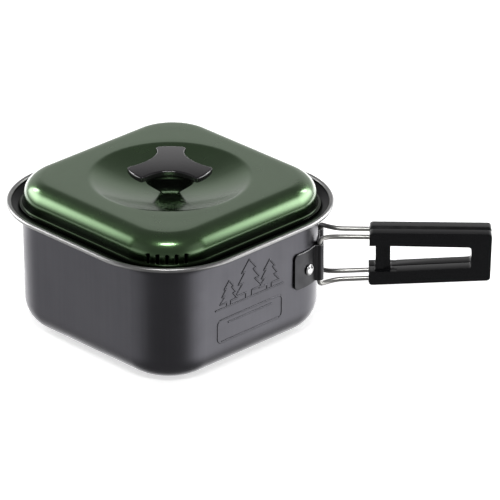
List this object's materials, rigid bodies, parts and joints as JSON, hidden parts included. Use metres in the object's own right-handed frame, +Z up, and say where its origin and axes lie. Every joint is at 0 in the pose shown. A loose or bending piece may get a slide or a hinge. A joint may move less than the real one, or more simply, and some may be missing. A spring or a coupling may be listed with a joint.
{
  "type": "square camping pot with lid",
  "caption": "Square camping pot with rounded corners, a strainer lid with a winged knob, and a pair of wire handles that fold against its sides.",
  "frame": {"origin": "middle of the pot's flat underside, which rests on the stove or table", "axes": "+Z up; +X along the extended handles; the pot's rounded corners point along X and Y, and the lid's strainer slots are over the corner at -Y"},
  "size_m": [0.2734, 0.1844, 0.0996],
  "materials": {
    "pot": "hard anodised dark grey, satin",
    "lid": "green anodised, bright",
    "knob": "glossy black",
    "insert": "turned",
    "screw": "zinc plated",
    "washer": "stainless",
    "bracket": "dark satin",
    "rivets": "bright",
    "wire": "polished stainless",
    "grips": "fine matte black"
  },
  "bodies": {
    "pot": {"pot_body": "pot", "handle_bracket": "bracket", "rivet_front": "rivets", "rivet_rear": "rivets"},
    "lid": {"lid_shell": "lid", "lid_knob": "knob", "knob_insert": "insert", "knob_screw": "screw", "knob_washer": "washer"},
    "handle_front": {"wire_loop_front": "wire", "grip_front": "grips"},
    "handle_rear": {"wire_loop_rear": "wire", "grip_rear": "grips"}
  },
  "joints": [
    {"name": "lid_lift", "type": "slide", "parent": "pot", "child": "lid", "axis": [0, 0, 1], "range_m": [0, 0.06]},
    {"name": "handle_front_fold", "type": "hinge", "parent": "pot", "child": "handle_front", "pos_m": [0.084, -0.0103, 0.0423], "axis": [0, 0, -1], "range_deg": [0, 135]},
    {"name": "handle_rear_fold", "type": "hinge", "parent": "pot", "child": "handle_rear", "pos_m": [0.084, 0.0103, 0.0423], "axis": [0, 0, 1], "range_deg": [0, 135]}
  ]
}
